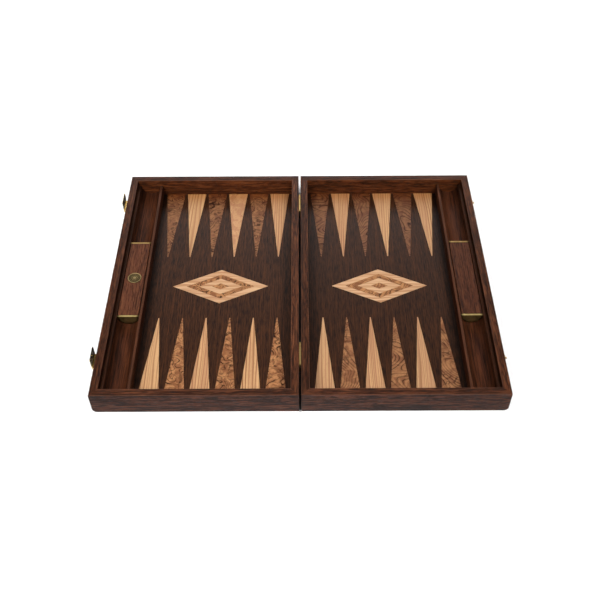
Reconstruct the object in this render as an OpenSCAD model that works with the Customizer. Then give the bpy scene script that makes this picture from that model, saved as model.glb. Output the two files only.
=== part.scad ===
// Folding backgammon case, lying open: two hinged trays with inlaid fields, half-round racks,
// lidded compartments, brass butt hinges in the seam and brass snap latches on the outer rails.
// Millimetres. The origin is on the floor under the hinge line, +X towards the right half,
// +Y towards the far row of points, +Z up.

/* [Case] */
// Width across both halves when they lie open
open_w = 600; // [570:1:640]
// Depth of the case, front to rear
case_l = 480; // [450:1:520]
// Height of one half, from the floor to its rim
rim_h = 40; // [38:0.5:48]
// Thickness of the rails
rail_t = 12; // [10:0.5:15]
// Gap between the two halves when they lie open
seam_gap = 3.2; // [3:0.1:4.5]
// Gap between the two rims when the case is shut
shut_gap = 0.3; // [0.2:0.1:1]
// Radius along the outer bottom edge of each half
edge_r = 7; // [2:0.5:7]
// Radius along the edges of the rim
rim_r = 0.7; // [0.3:0.1:1]
// Thickness of the base panels
base_t = 5; // [4:0.5:6]
// Width of the rebate in the rails that takes a base panel
rebate_w = 4; // [3:0.5:5]

/* [Playing field] */
// Thickness of the field panels
field_t = 3; // [2.5:0.1:4]
// Thickness of the inlaid wood
inlay_t = 1; // [0.6:0.1:1.5]
// Gap around each inlaid piece
inlay_gap = 0.05; // [0.02:0.01:0.1]
// Length of a point, from the rail to its tip
point_len = 160; // [140:1:170]
// Plain margin at each end of a row of points
row_margin = 4; // [2:0.5:8]
// Space between the bases of neighbouring points
point_space = 3.7; // [2:0.1:6]
// Width of the blunt tip of a point
tip_w = 1.4; // [0.6:0.1:2]
// Half the width of the diamond
diamond_w = 77.5; // [72:0.5:90]
// Half the depth of the diamond
diamond_h = 37; // [30:0.5:45]
// Width of the outer light band, along the row
outer_band = 22; // [16:0.5:24]
// Width of the burl band, along the row
burl_band = 20; // [16:0.5:22]
// Width of the inner light band, along the row
inner_band = 21.5; // [16:0.5:22]

/* [Racks] */
// Width of a rack moulding
rack_w = 43; // [40:0.5:48]
// Radius of the half-round groove
groove_r = 17.3; // [16:0.1:18]
// Depth of the lips below the rim
lip_drop = 11.5; // [10:0.5:13]
// Length of the open rack at each end, from the rail to the brass plate
rack_room = 145.5; // [115:0.5:165]
// Thickness of the brass plates
plate_t = 3; // [2:0.1:4]
// Gap between a plate and the groove
plate_fit = 0.05; // [0.02:0.01:0.1]
// Thickness of a lid
lid_t = 6; // [5:0.5:8]
// Clearance between a lid and the groove that it rests in
lid_seat = 0.2; // [0.15:0.05:0.4]
// Clearance between a lid and the plates at its ends
lid_gap = 0.5; // [0.3:0.1:1]
// Bevel along the top edges of a lid
lid_bevel = 0.6; // [0.2:0.1:1]
// Diameter of the badge
badge_d = 22; // [16:0.5:26]
// Thickness of the badge
badge_t = 1.5; // [1:0.1:2.5]
// Depth of the recess that holds the badge
badge_recess = 0.7; // [0.4:0.1:0.9]
// Clearance around the badge
badge_fit = 0.1; // [0.05:0.01:0.2]
// Width of the badge's raised rim
badge_rim = 2; // [1:0.1:3]
// Depth of the dish inside the rim
badge_dish = 0.4; // [0.2:0.1:0.7]

/* [Hinges] */
// Distance of the middle of a hinge from the end of the case
hinge_inset = 74; // [60:1:120]
// Length of a hinge
hinge_l = 42; // [36:1:60]
// Depth of a leaf below the hinge line
leaf_h = 16; // [12:0.5:20]
// Thickness of a leaf
leaf_t = 1; // [0.8:0.1:1.1]
// Knuckles in a hinge
knuckles = 5; // [3:2:7]
// Gap between neighbouring knuckles
knuckle_gap = 0.3; // [0.2:0.05:0.5]
// Clearance between the barrel and what it turns past
barrel_clear = 0.25; // [0.2:0.05:0.3]
// Diameter of a hinge pin
hinge_pin_d = 1.4; // [1.2:0.1:1.5]
// Radial running clearance around the pins
pin_run = 0.04; // [0.02:0.01:0.08]
// Spacing of the screws in a leaf
leaf_screw_pitch = 14; // [11:0.5:16]

/* [Latches] */
// Distance of the middle of a latch, and of its stud, from the end of the case
latch_inset = 69; // [50:1:110]
// Width of a latch
latch_w = 26; // [22:0.5:34]
// Height of the pivot above the floor
latch_z = 30; // [28:0.5:31]
// Distance of the pivot from the rail
latch_stand = 3.3; // [3.2:0.1:4]
// Radius of the latch barrel
latch_barrel_r = 1.8; // [1.6:0.1:2]
// Diameter of a latch pin
latch_pin_d = 1.6; // [1.2:0.1:1.8]
// Thickness of the latch base plate
latch_base_t = 1; // [0.8:0.1:1.2]
// Depth of the latch base plate below the pivot
latch_base_h = 16; // [14:0.5:18]
// Thickness of the bridges between the base plate and its barrel
bridge_h = 2.2; // [1.6:0.1:2.6]
// Thickness of the tongue
tongue_t = 1.2; // [1:0.1:1.4]
// Metal between the centre of the hole and the end of the tongue
tongue_end = 4; // [3.5:0.1:6]
// Radius of the corners of the tongue
tongue_r = 2; // [1:0.5:3]
// Turn of the tongue from rest to where it holds the stud, in degrees
lock_turn = 7; // [4:0.5:8]
// Spacing of the screws in a latch base
latch_screw_pitch = 15; // [12:0.5:18]
// Depth of the studs below the rim
stud_drop = 5.3; // [5:0.1:6]
// How far a stud stands out of the rail
stud_out = 3.5; // [3:0.1:3.6]
// Diameter of the stud's head
stud_head_d = 3.6; // [3:0.1:4]
// Length of each turned step of the stud's head
stud_step = 0.6; // [0.4:0.05:0.7]
// Diameter of the stud's neck
stud_neck_d = 2.6; // [2:0.1:2.8]
// Diameter of the stud's flange
stud_flange_d = 9; // [7:0.5:10]
// Thickness of the stud's flange
stud_flange_t = 0.8; // [0.5:0.1:1]
// Clearance between the stud's head and the hole in the tongue
hole_clear = 0.4; // [0.3:0.05:0.6]

/* [Screws] */
// Diameter of a screw head
screw_head_d = 3.4; // [3:0.1:4]
// Depth of the countersink
screw_sink = 0.7; // [0.5:0.05:0.75]
// Diameter of a screw shank
screw_d = 1.8; // [1.4:0.1:2.2]
// Length of a screw in the wood
screw_l = 8; // [6:0.5:9]
// Clearance around a screw
screw_fit = 0.05; // [0.02:0.01:0.1]

/* [Hidden] */
$fn = 64;
eps = 0.01;
points_per_row = 6;
foot_min = 1;
half_w = (open_w - seam_gap) / 2;
half_x = seam_gap / 2 + half_w / 2;
fold_z = rim_h + shut_gap / 2;
inner_l = case_l - 2 * rail_t;
bottom_r = min(edge_r, rail_t - rebate_w - foot_min);
hinge_y = case_l / 2 - hinge_inset;
latch_y = case_l / 2 - latch_inset;
plate_y = inner_l / 2 - rack_room - plate_t / 2;
field_top = base_t + field_t;
lip_z = rim_h - lip_drop;
rack_out = open_w / 2 - rail_t;
rack_in = rack_out - rack_w;
groove_x = rack_out - rack_w / 2;
field_in = seam_gap / 2 + rail_t;
field_w = rack_in - field_in;
field_x = field_in + field_w / 2;
point_pitch = (field_w - 2 * row_margin) / points_per_row;
point_w = point_pitch - point_space;
band_1 = diamond_w - outer_band;
band_2 = band_1 - burl_band;
band_3 = band_2 - inner_band;
lid_l = 2 * (plate_y - plate_t / 2 - lid_gap);
lid_half = sqrt(pow(groove_r - lid_seat, 2) - lid_t * lid_t);
knuckle_r = seam_gap / 2 - barrel_clear;
knuckle_l = (hinge_l - (knuckles - 1) * knuckle_gap) / knuckles;
leaf_screw_z = fold_z - (knuckle_r + leaf_h) / 2 - screw_head_d / 4;
wall_x = open_w / 2;
pivot_x = wall_x + latch_stand;
latch_knuckle = latch_w / 4;
stud_z = rim_h - stud_drop;
shut_stud_z = 2 * fold_z - stud_z;
tongue_mid = latch_barrel_r - tongue_t / 2;
hole_h = (shut_stud_z - latch_z - tongue_mid * sin(lock_turn)) / cos(lock_turn);
hole_r = stud_head_d / 2 + hole_clear;
tongue_h = hole_h + tongue_end;
tongue_low = latch_barrel_r + knuckle_gap;
latch_screw_z = latch_z - latch_base_h / 2 - screw_head_d / 4;

wenge = [0.29, 0.20, 0.16];
wenge_field = [0.22, 0.16, 0.13];
rack_wood = [0.33, 0.19, 0.13];
lid_wood = [0.40, 0.25, 0.17];
light_wood = [0.82, 0.65, 0.45];
burl_wood = [0.58, 0.38, 0.26];
brass = [0.78, 0.63, 0.33];

// Everything is drawn for the right half. The left half is its mirror image.
module left() { mirror([1, 0, 0]) children(); }

// Both hinges, or both latches and studs, along the case
module at_both(y) { for (s = [-1, 1]) translate([0, s * y, 0]) children(); }

// What comes off the corner at the origin to leave a quarter round
module corner_waste(r) {
    difference() {
        translate([-eps, -eps]) square(r + eps);
        translate([r, r]) circle(r);
    }
}

// Section of a rail: outer face at 0, eased rim, rebate for the base panel
module rail_section() {
    difference() {
        square([rail_t, rim_h]);
        translate([0, rim_h]) mirror([0, 1]) corner_waste(rim_r);
        translate([rail_t, rim_h]) rotate(180) corner_waste(rim_r);
        translate([rail_t - rebate_w, -eps]) square([rebate_w + eps, base_t + eps]);
    }
}

// A rail of full length along X, mitred at both ends, outer face on the XZ plane
module rail(length) {
    intersection() {
        translate([-length / 2, 0, 0]) rotate([90, 0, 90]) linear_extrude(length) rail_section();
        linear_extrude(rim_h) polygon([
            [-length / 2, 0], [length / 2, 0],
            [length / 2 - rail_t, rail_t], [-length / 2 + rail_t, rail_t]
        ]);
    }
}

// A rail with the outer bottom edge of its half rounded over, from front to rear
module rounded_off() {
    difference() {
        children();
        translate([wall_x, case_l / 2 + eps, 0]) rotate([90, 0, 0]) linear_extrude(case_l + 2 * eps)
            mirror([1, 0]) corner_waste(bottom_r);
    }
}

module front_rail() { rounded_off() translate([half_x, -case_l / 2, 0]) rail(half_w); }
module rear_rail() { rounded_off() translate([half_x, case_l / 2, 0]) rotate(180) rail(half_w); }
module outer_rail() { rounded_off() translate([wall_x, 0, 0]) rotate(90) rail(case_l); }

module hinge_rail() {
    difference() {
        translate([seam_gap / 2, 0, 0]) rotate(-90) rail(case_l);
        at_both(hinge_y) leaf_screw_places() screw(screw_fit);
    }
}

module base_panel() {
    w = half_w - 2 * (rail_t - rebate_w);
    l = case_l - 2 * (rail_t - rebate_w);
    translate([half_x - w / 2, -l / 2, 0]) cube([w, l, base_t]);
}

// A countersunk screw along X: head flush with x = 0, shank into the wood at +X
module screw(fit) {
    rotate([0, 90, 0]) {
        cylinder(d1 = screw_head_d + 2 * fit, d2 = screw_d + 2 * fit, h = screw_sink);
        cylinder(d = screw_d + 2 * fit, h = screw_l + fit);
    }
}

// Playing field and its inlay

// Row of points: the far row runs from the rear rail, the near row is the same row turned about
module row_of_points(row, first, grow) {
    rotate(row > 0 ? 0 : 180) translate([row > 0 ? 0 : -2 * field_x, 0, 0])
        for (i = [first : 2 : points_per_row - 1])
            translate([field_x + (i - (points_per_row - 1) / 2) * point_pitch, inner_l / 2, 0])
                polygon([
                    [-point_w / 2 - grow, 0], [point_w / 2 + grow, 0],
                    [tip_w / 2 + grow, -point_len - grow], [-tip_w / 2 - grow, -point_len - grow]
                ]);
}

module rhombus(w) {
    h = w * diamond_h / diamond_w;
    translate([field_x, 0]) polygon([[-w, 0], [0, -h], [w, 0], [0, h]]);
}

module diamond_band(outside, inside) {
    difference() {
        rhombus(outside - inlay_gap);
        if (inside > 0) rhombus(inside + inlay_gap);
    }
}

module inlay() { translate([0, 0, field_top - inlay_t]) linear_extrude(inlay_t) children(); }

module field_panel() {
    difference() {
        translate([field_in, -inner_l / 2, base_t]) cube([field_w, inner_l, field_t]);
        translate([0, 0, field_top - inlay_t]) linear_extrude(inlay_t + eps) {
            for (row = [-1, 1]) for (first = [0, 1]) row_of_points(row, first, inlay_gap);
            rhombus(diamond_w + inlay_gap);
        }
    }
}

// Rack, its plates and its lid

module rack() {
    difference() {
        translate([rack_in, -inner_l / 2, base_t]) cube([rack_w, inner_l, lip_z - base_t]);
        translate([groove_x, inner_l / 2 + eps, lip_z]) rotate([90, 0, 0])
            cylinder(r = groove_r, h = inner_l + 2 * eps);
    }
}

// A half-moon plate that stands across the groove
module half_moon(s) {
    intersection() {
        translate([groove_x, s * plate_y + plate_t / 2, lip_z]) rotate([90, 0, 0])
            cylinder(r = groove_r - plate_fit, h = plate_t);
        translate([rack_in, s * plate_y - plate_t, 0]) cube([rack_w, 2 * plate_t, lip_z]);
    }
}

// The lid's lower edges rest on the sides of the groove
module lid() {
    translate([groove_x, lid_l / 2, lip_z]) rotate([90, 0, 0]) linear_extrude(lid_l) polygon([
        [-lid_half, -lid_t], [lid_half, -lid_t],
        [lid_half, -lid_bevel], [lid_half - lid_bevel, 0],
        [-lid_half + lid_bevel, 0], [-lid_half, -lid_bevel]
    ]);
}

module at_badge() { translate([groove_x, 0, lip_z - badge_recess]) children(); }

// A round badge let into the left lid, with a raised rim around a bare dish
module badge() {
    at_badge() difference() {
        cylinder(d = badge_d, h = badge_t);
        translate([0, 0, badge_t - badge_dish]) cylinder(d = badge_d - 2 * badge_rim, h = badge_dish + eps);
    }
}

// Hinges: leaves on the facing rails, knuckles on the hinge line above the gap

module on_hinge_line() { translate([0, 0, fold_z]) rotate([90, 0, 0]) children(); }

module leaf_screw_places() {
    for (i = [-1 : 1]) translate([seam_gap / 2 - leaf_t, i * leaf_screw_pitch, leaf_screw_z]) children();
}

// A leaf has every second knuckle, starting with the first or the second
module leaf(first) {
    top = fold_z - knuckle_r - barrel_clear;
    bottom = fold_z - leaf_h;
    difference() {
        union() {
            translate([seam_gap / 2 - leaf_t, -hinge_l / 2, bottom])
                cube([leaf_t, hinge_l, top - bottom]);
            for (i = [first : 2 : knuckles - 1]) {
                y = -hinge_l / 2 + i * (knuckle_l + knuckle_gap);
                translate([seam_gap / 2 - leaf_t, y, top - eps])
                    cube([leaf_t - barrel_clear, knuckle_l, fold_z - top + eps]);
                translate([0, y + knuckle_l, 0]) on_hinge_line() cylinder(r = knuckle_r, h = knuckle_l);
            }
        }
        translate([0, hinge_l / 2 + eps, 0]) on_hinge_line()
            cylinder(d = hinge_pin_d + 2 * pin_run, h = hinge_l + 2 * eps);
        leaf_screw_places() screw(screw_fit);
    }
}

module hinge_pin(s) {
    translate([0, s * hinge_y + hinge_l / 2, 0]) on_hinge_line() cylinder(d = hinge_pin_d, h = hinge_l);
}

module hinge_screws() { at_both(hinge_y) leaf_screw_places() screw(0); }

// Latches: drawn on the right outer rail and mirrored to the left one

module on_pivot() { translate([pivot_x, 0, latch_z]) rotate([90, 0, 0]) children(); }

module latch_screw_places() {
    for (s = [-1, 1])
        translate([wall_x + latch_base_t, s * latch_screw_pitch / 2, latch_screw_z])
            rotate(180) children();
}

module latch_base() {
    difference() {
        union() {
            translate([wall_x, -latch_w / 2, latch_z - latch_base_h])
                cube([latch_base_t, latch_w, latch_base_h + bridge_h / 2]);
            for (s = [-1, 1]) {
                y = s * (latch_w - latch_knuckle) / 2;
                translate([wall_x, y - latch_knuckle / 2, latch_z - bridge_h / 2])
                    cube([latch_stand, latch_knuckle, bridge_h]);
                translate([0, y + latch_knuckle / 2, 0]) on_pivot()
                    cylinder(r = latch_barrel_r, h = latch_knuckle);
            }
        }
        translate([0, latch_w / 2 + eps, 0]) on_pivot()
            cylinder(d = latch_pin_d + 2 * pin_run, h = latch_w + 2 * eps);
        latch_screw_places() screw(screw_fit);
    }
}

module latch_tongue() {
    knuckle = latch_w - 2 * latch_knuckle - 2 * knuckle_gap;
    face = pivot_x + latch_barrel_r - tongue_t;
    difference() {
        union() {
            translate([face, 0, latch_z]) rotate([90, 0, 90]) linear_extrude(tongue_t) tongue_outline();
            translate([face, -knuckle / 2, latch_z]) cube([tongue_t, knuckle, tongue_low + eps]);
            translate([0, knuckle / 2, 0]) on_pivot() cylinder(r = latch_barrel_r, h = knuckle);
        }
        translate([0, latch_w / 2, 0]) on_pivot() cylinder(d = latch_pin_d + 2 * pin_run, h = latch_w);
        translate([face - eps, 0, latch_z + hole_h]) rotate([0, 90, 0])
            cylinder(r = hole_r, h = tongue_t + 2 * eps);
    }
}

// Flat outline of the tongue above its knuckle, with rounded upper corners
module tongue_outline() {
    translate([-latch_w / 2, tongue_low]) square([latch_w, tongue_h - tongue_low - tongue_r]);
    translate([-latch_w / 2 + tongue_r, tongue_h - tongue_r - eps])
        square([latch_w - 2 * tongue_r, tongue_r + eps]);
    for (s = [-1, 1]) translate([s * (latch_w / 2 - tongue_r), tongue_h - tongue_r]) circle(tongue_r);
}

module latch_pin() { translate([0, latch_w / 2, 0]) on_pivot() cylinder(d = latch_pin_d, h = latch_w); }

// A turned stud along +X from the rail: shank in the wood, flange, neck and rounded head
module stud_body(fit) {
    rotate([0, 90, 0]) {
        translate([0, 0, -screw_l - fit]) cylinder(d = screw_d + 2 * fit, h = screw_l + fit + eps);
        cylinder(d = stud_flange_d, h = stud_flange_t);
        cylinder(d = stud_neck_d, h = stud_out - 2 * stud_step);
        translate([0, 0, stud_out - 3 * stud_step])
            cylinder(d1 = stud_neck_d, d2 = stud_head_d, h = stud_step);
        translate([0, 0, stud_out - 2 * stud_step]) cylinder(d = stud_head_d, h = stud_step + eps);
        translate([0, 0, stud_out - stud_step])
            cylinder(d1 = stud_head_d, d2 = stud_neck_d, h = stud_step);
    }
}

module stud_place(s) { translate([wall_x, s * latch_y, stud_z]) children(); }

// Left half
module left_front_rail() { color(wenge) left() front_rail(); }
module left_rear_rail() { color(wenge) left() rear_rail(); }

module left_outer_rail() {
    color(wenge) left() difference() {
        outer_rail();
        at_both(latch_y) latch_screw_places() screw(screw_fit);
    }
}

module left_hinge_rail() { color(wenge) left() hinge_rail(); }
module left_base_panel() { color(wenge) left() base_panel(); }
module left_field_panel() { color(wenge_field) left() field_panel(); }
module left_far_light_points() { color(light_wood) left() inlay() row_of_points(1, 0, 0); }
module left_far_burl_points() { color(burl_wood) left() inlay() row_of_points(1, 1, 0); }
module left_near_light_points() { color(light_wood) left() inlay() row_of_points(-1, 0, 0); }
module left_near_burl_points() { color(burl_wood) left() inlay() row_of_points(-1, 1, 0); }
module left_diamond_outer_band() { color(light_wood) left() inlay() diamond_band(diamond_w, band_1); }
module left_diamond_burl_band() { color(burl_wood) left() inlay() diamond_band(band_1, band_2); }
module left_diamond_inner_band() { color(light_wood) left() inlay() diamond_band(band_2, band_3); }
module left_diamond_centre() { color(burl_wood) left() inlay() diamond_band(band_3, 0); }
module left_rack() { color(rack_wood) left() rack(); }
module left_front_plate() { color(brass) left() half_moon(-1); }
module left_rear_plate() { color(brass) left() half_moon(1); }

module left_lid() {
    color(lid_wood) left() difference() {
        lid();
        at_badge() cylinder(d = badge_d + 2 * badge_fit, h = badge_t);
    }
}

module left_badge() { color(brass) left() badge(); }

// Right half
module right_front_rail() { color(wenge) front_rail(); }
module right_rear_rail() { color(wenge) rear_rail(); }

module right_outer_rail() {
    color(wenge) difference() {
        outer_rail();
        for (s = [-1, 1]) stud_place(s) stud_body(screw_fit);
    }
}

module right_hinge_rail() { color(wenge) hinge_rail(); }
module right_base_panel() { color(wenge) base_panel(); }
module right_field_panel() { color(wenge_field) field_panel(); }
module right_far_light_points() { color(light_wood) inlay() row_of_points(1, 1, 0); }
module right_far_burl_points() { color(burl_wood) inlay() row_of_points(1, 0, 0); }
module right_near_light_points() { color(light_wood) inlay() row_of_points(-1, 1, 0); }
module right_near_burl_points() { color(burl_wood) inlay() row_of_points(-1, 0, 0); }
module right_diamond_outer_band() { color(light_wood) inlay() diamond_band(diamond_w, band_1); }
module right_diamond_burl_band() { color(burl_wood) inlay() diamond_band(band_1, band_2); }
module right_diamond_inner_band() { color(light_wood) inlay() diamond_band(band_2, band_3); }
module right_diamond_centre() { color(burl_wood) inlay() diamond_band(band_3, 0); }
module right_rack() { color(rack_wood) rack(); }
module right_front_plate() { color(brass) half_moon(-1); }
module right_rear_plate() { color(brass) half_moon(1); }
module right_lid() { color(lid_wood) lid(); }

// Fittings
module rear_hinge_left_leaf() { color(brass) left() translate([0, hinge_y, 0]) leaf(0); }
module rear_hinge_right_leaf() { color(brass) translate([0, hinge_y, 0]) leaf(1); }
module rear_hinge_pin() { color(brass) hinge_pin(1); }
module front_hinge_left_leaf() { color(brass) left() translate([0, -hinge_y, 0]) leaf(0); }
module front_hinge_right_leaf() { color(brass) translate([0, -hinge_y, 0]) leaf(1); }
module front_hinge_pin() { color(brass) hinge_pin(-1); }
module left_hinge_screws() { color(brass) left() hinge_screws(); }
module right_hinge_screws() { color(brass) hinge_screws(); }
module rear_latch_base() { color(brass) left() translate([0, latch_y, 0]) latch_base(); }
module rear_latch_tongue() { color(brass) left() translate([0, latch_y, 0]) latch_tongue(); }
module rear_latch_pin() { color(brass) left() translate([0, latch_y, 0]) latch_pin(); }
module front_latch_base() { color(brass) left() translate([0, -latch_y, 0]) latch_base(); }
module front_latch_tongue() { color(brass) left() translate([0, -latch_y, 0]) latch_tongue(); }
module front_latch_pin() { color(brass) left() translate([0, -latch_y, 0]) latch_pin(); }
module latch_screws() { color(brass) left() at_both(latch_y) latch_screw_places() screw(0); }
module rear_catch_stud() { color(brass) stud_place(1) stud_body(0); }
module front_catch_stud() { color(brass) stud_place(-1) stud_body(0); }

left_front_rail();
left_rear_rail();
left_outer_rail();
left_hinge_rail();
left_base_panel();
left_field_panel();
left_far_light_points();
left_far_burl_points();
left_near_light_points();
left_near_burl_points();
left_diamond_outer_band();
left_diamond_burl_band();
left_diamond_inner_band();
left_diamond_centre();
left_rack();
left_front_plate();
left_rear_plate();
left_lid();
left_badge();
right_front_rail();
right_rear_rail();
right_outer_rail();
right_hinge_rail();
right_base_panel();
right_field_panel();
right_far_light_points();
right_far_burl_points();
right_near_light_points();
right_near_burl_points();
right_diamond_outer_band();
right_diamond_burl_band();
right_diamond_inner_band();
right_diamond_centre();
right_rack();
right_front_plate();
right_rear_plate();
right_lid();
rear_hinge_left_leaf();
rear_hinge_right_leaf();
rear_hinge_pin();
front_hinge_left_leaf();
front_hinge_right_leaf();
front_hinge_pin();
left_hinge_screws();
right_hinge_screws();
rear_latch_base();
rear_latch_tongue();
rear_latch_pin();
front_latch_base();
front_latch_tongue();
front_latch_pin();
latch_screws();
rear_catch_stud();
front_catch_stud();
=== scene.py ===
import math

import bmesh
import bpy
from mathutils import Matrix, Vector


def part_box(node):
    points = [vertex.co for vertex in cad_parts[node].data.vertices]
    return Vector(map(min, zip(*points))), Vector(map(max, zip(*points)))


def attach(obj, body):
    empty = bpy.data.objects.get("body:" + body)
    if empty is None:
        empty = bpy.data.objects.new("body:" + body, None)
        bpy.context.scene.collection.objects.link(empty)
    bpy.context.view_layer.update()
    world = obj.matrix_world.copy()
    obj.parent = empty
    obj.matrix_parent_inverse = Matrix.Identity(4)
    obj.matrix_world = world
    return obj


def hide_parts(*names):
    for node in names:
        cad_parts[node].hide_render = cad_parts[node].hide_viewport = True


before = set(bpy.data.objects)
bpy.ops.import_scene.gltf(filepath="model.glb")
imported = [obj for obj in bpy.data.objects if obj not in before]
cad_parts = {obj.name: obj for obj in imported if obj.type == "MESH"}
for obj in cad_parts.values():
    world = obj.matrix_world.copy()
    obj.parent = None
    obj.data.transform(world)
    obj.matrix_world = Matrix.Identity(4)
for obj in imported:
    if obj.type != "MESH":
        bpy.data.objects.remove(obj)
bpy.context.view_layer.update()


# Camera. It stands in front of the open case, a little over a metre off, and looks down at the fields
# with a normal lens. Nothing is shifted and nothing is out of focus.
CAMERA_AT = (0.0024, -0.9347, 1.0116)
CAMERA_DOWN, CAMERA_YAW, CAMERA_ROLL = (math.radians(angle) for angle in (47.99, -0.148, -0.363))
CAMERA_LENS = 50.48

camera = bpy.data.objects.new("camera", bpy.data.cameras.new("camera"))
camera.data.lens = CAMERA_LENS
camera.data.clip_start = 0.01
camera.matrix_world = (
    Matrix.Translation(CAMERA_AT)
    @ Matrix.Rotation(-CAMERA_YAW, 4, "Z")
    @ Matrix.Rotation(math.radians(90) - CAMERA_DOWN, 4, "X")
    @ Matrix.Rotation(CAMERA_ROLL, 4, "Z")
)
bpy.context.scene.collection.objects.link(camera)
bpy.context.scene.camera = camera


# Rails. Each half is a tray of four dark wenge boards, mitred and glued at the corners. The bottom edge on
# its outer side is rounded over from front to rear, the rim is only eased, and a rebate below takes the
# base panel. Satin lacquer.
HALVES = {"left": -1, "right": 1}
BOTTOM_R = 0.007
BOTTOM_STEPS = 10
RIM_R = 0.0007
RIM_STEPS = 4
REBATE_W = 0.004
FRAME_DARK = (23, 11, 7)
FRAME_MID = (64, 33, 19)
FRAME_PALE = (99, 58, 36)
# Pale colour of the eased edges and lips: wear and a painted highlight.
FRAME_WEAR_AND_HIGHLIGHT = (112, 76, 58)
# Outside faces darker and cooler, inside faces warmer.
OUTSIDE_DARKENING = (229, 229, 243)
INSIDE_WARMING = (255, 241, 212)
# Inside faces lifted as painted light, and lowered as painted shade on the outer boards.
INSIDE_PAINTED_LIGHT_AND_SHADE = {"front": 1.85, "rear": 1.85, "outer": 0.4, "hinge": 1.85}
# Painted shade on the faces that meet in the seam.
SEAM_PAINTED_SHADE = (150, 140, 132)
SEAM_FACE = (0.0017, 0.0021)  # from the middle of the seam, where the painted shade fades out
BOARD_MARKS = ("eased", "outside", "inside", "board", "tone")
BOARD_JUMP = (0.37, 0.61, 0.23)
# Board tones: partly the boards' own tone, partly painted light and shade.
BOARD_TONES_AND_LIGHT = {"left": {"front": 1.32, "rear": 1.03, "outer": 1.25, "hinge": 1.45},
               "right": {"front": 1.32, "rear": 0.89, "outer": 1.42, "hinge": 0.99}}
WOOD_GLOSS = 0.11


class Wire:
    """A node socket. Arithmetic on wires adds Math nodes to their tree, and node() adds any other node."""

    def __init__(self, socket):
        self.socket = socket

    def node(self, kind, settings=None, sockets=None, out=0):
        """A new node in this wire's tree: its settings come first, then its sockets' values or links."""
        tree = self.socket.id_data
        made = tree.nodes.new(kind)
        for name, value in (settings or {}).items():
            setattr(made, name, value)
        for name, value in (sockets or {}).items():
            target = find_socket(made.inputs, name)
            if isinstance(value, Wire):
                tree.links.new(value.socket, target)
            else:
                target.default_value = value
        return Wire(find_socket(made.outputs, out))

    def math(self, operation, *others):
        return self.node("ShaderNodeMath", {"operation": operation}, dict(enumerate((self, *others))))

    def __add__(self, other):
        return self.math("ADD", other)

    def __sub__(self, other):
        return self.math("SUBTRACT", other)

    def __mul__(self, other):
        return self.math("MULTIPLY", other)

    def __pow__(self, other):
        return self.math("POWER", other)

    def __abs__(self):
        return self.math("ABSOLUTE")

    def __rsub__(self, other):
        return self.node("ShaderNodeMath", {"operation": "SUBTRACT"}, {0: other, 1: self})

    __radd__ = __add__
    __rmul__ = __mul__

    def step(self, low, high):
        """A soft step from 0 at low to 1 at high."""
        return self.node(
            "ShaderNodeMapRange", {"interpolation_type": "SMOOTHSTEP"},
            {"Value": self, "From Min": low, "From Max": high},
        )


def find_socket(sockets, name):
    """A socket by its place, its identifier or its name."""
    if isinstance(name, int):
        return sockets[name]
    return next(s for s in sockets if name == s.identifier or name == s.name)


def tint(colour):
    """A display colour, 0 to 255 a channel, as the linear colour that shaders take."""
    parts = (channel / 255 for channel in colour)
    return (*(c / 12.92 if c <= 0.04045 else ((c + 0.055) / 1.055) ** 2.4 for c in parts), 1)


def new_finish(name, **fixed):
    """A material with these fixed shader values. Gives it, its shader and its Object coordinates."""
    material = bpy.data.materials.new(name)
    material.use_nodes = True
    shader = material.node_tree.nodes["Principled BSDF"]
    for socket, value in fixed.items():
        shader.inputs[socket.replace("_", " ").title().replace("Ior", "IOR")].default_value = value
    place = material.node_tree.nodes.new("ShaderNodeTexCoord")
    return material, shader, Wire(place.outputs["Object"])


def feed(shader, **wires):
    """Links wires to the shader sockets of the same name."""
    for name, wire in wires.items():
        wire.socket.id_data.links.new(wire.socket, shader.inputs[name.replace("_", " ").title()])


def coordinate(place, axis):
    """How far along X, Y or Z a place is."""
    return place.node("ShaderNodeSeparateXYZ", {}, {0: place}, axis)


def vector(start, x=0, y=0, z=0):
    """Three numbers or wires as one vector, in the tree of the start wire."""
    return start.node("ShaderNodeCombineXYZ", {}, {"X": x, "Y": y, "Z": z})


def noise(place, detail=2.0, roughness=0.5, distortion=0.0, scale=1.0):
    """Soft noise at a place, 0 to 1 and mostly near the middle."""
    return place.node("ShaderNodeTexNoise", {}, {
        "Vector": place, "Scale": scale, "Detail": detail, "Roughness": roughness, "Distortion": distortion,
    })


def stretched(place, along, across, axis):
    """Coordinates for grain: this many waves a metre along one axis and across the others."""
    scale = [across] * 3
    scale[axis] = along
    return place.node("ShaderNodeMapping", {}, {"Vector": place, "Scale": scale})


def shifted(place, count, jump):
    """Coordinates moved by a count of jumps, so that each board or veneer shows another part of the tree."""
    offset = vector(place, *(count * step for step in jump))
    return place.node("ShaderNodeVectorMath", {"operation": "ADD"}, {0: place, 1: offset})


def own_value(place, name):
    """A number that the piece's mesh carries."""
    return place.node("ShaderNodeAttribute", {"attribute_name": name}, out="Fac")


def blend(share, first, second, kind="MIX"):
    """Two colours mixed by a share. A display colour or a wire may stand for each."""
    first, second = (c if isinstance(c, Wire) else tint(c) for c in (first, second))
    return share.node("ShaderNodeMix", {"data_type": "RGBA", "blend_type": kind}, {
        "Factor_Float": share, "A_Color": first, "B_Color": second}, "Result_Color")


def bump(height, depth):
    """The normals of a relief, this many metres deep."""
    return height.node("ShaderNodeBump", {}, {"Height": height, "Distance": depth})


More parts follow.
